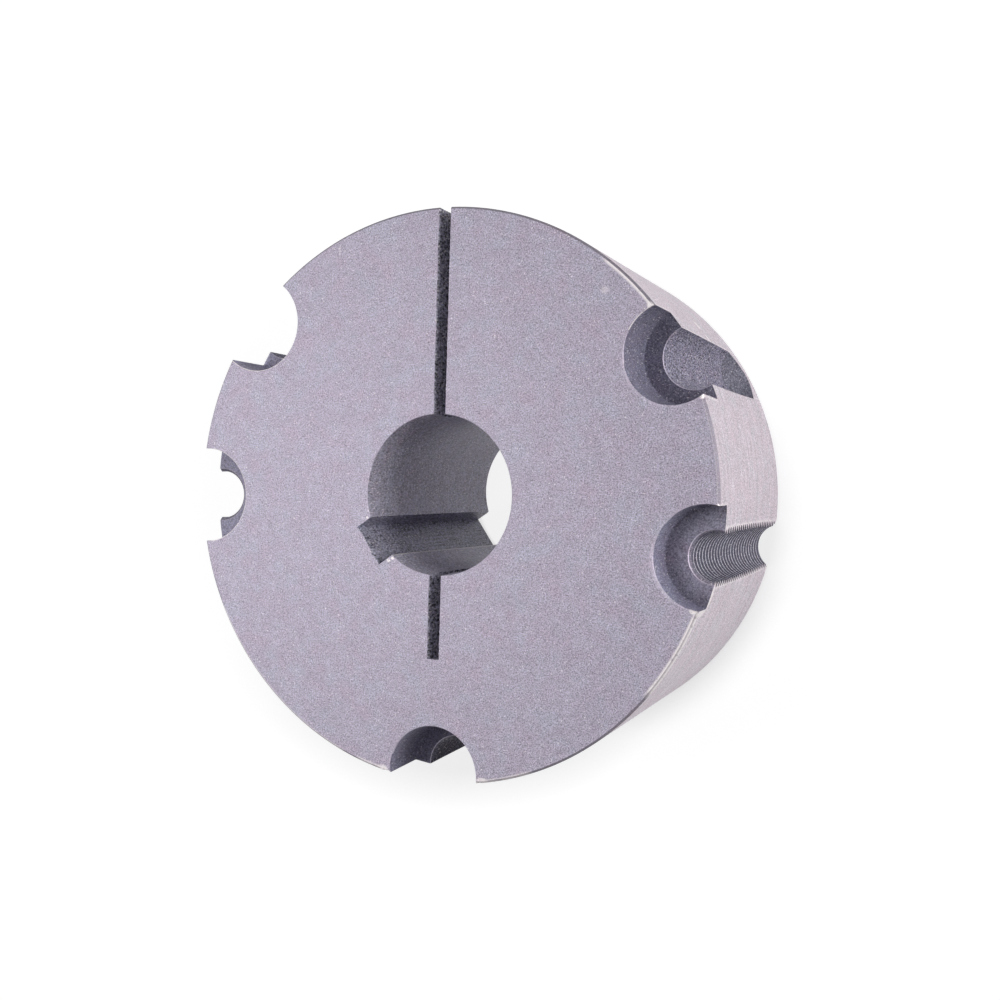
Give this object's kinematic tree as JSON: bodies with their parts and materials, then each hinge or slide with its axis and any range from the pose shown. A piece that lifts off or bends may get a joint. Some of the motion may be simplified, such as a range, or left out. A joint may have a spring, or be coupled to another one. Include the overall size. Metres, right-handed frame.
{
  "type": "taper bush",
  "caption": "Split, tapered cast-iron locking bush with a keyed bore and stepped half-holes down its flank for locking and jacking screws.",
  "frame": {"origin": "centre of the small end's face, on the bore's axis", "axes": "+Z along the bore from the small end to the large face, +Y through the middle of the split"},
  "size_m": [0.1264, 0.1259, 0.0635],
  "materials": {
    "phosphated_cast_iron": "turned and phosphated, matt"
  },
  "bodies": {
    "root": {"taper_bush": "phosphated_cast_iron"}
  },
  "joints": []
}
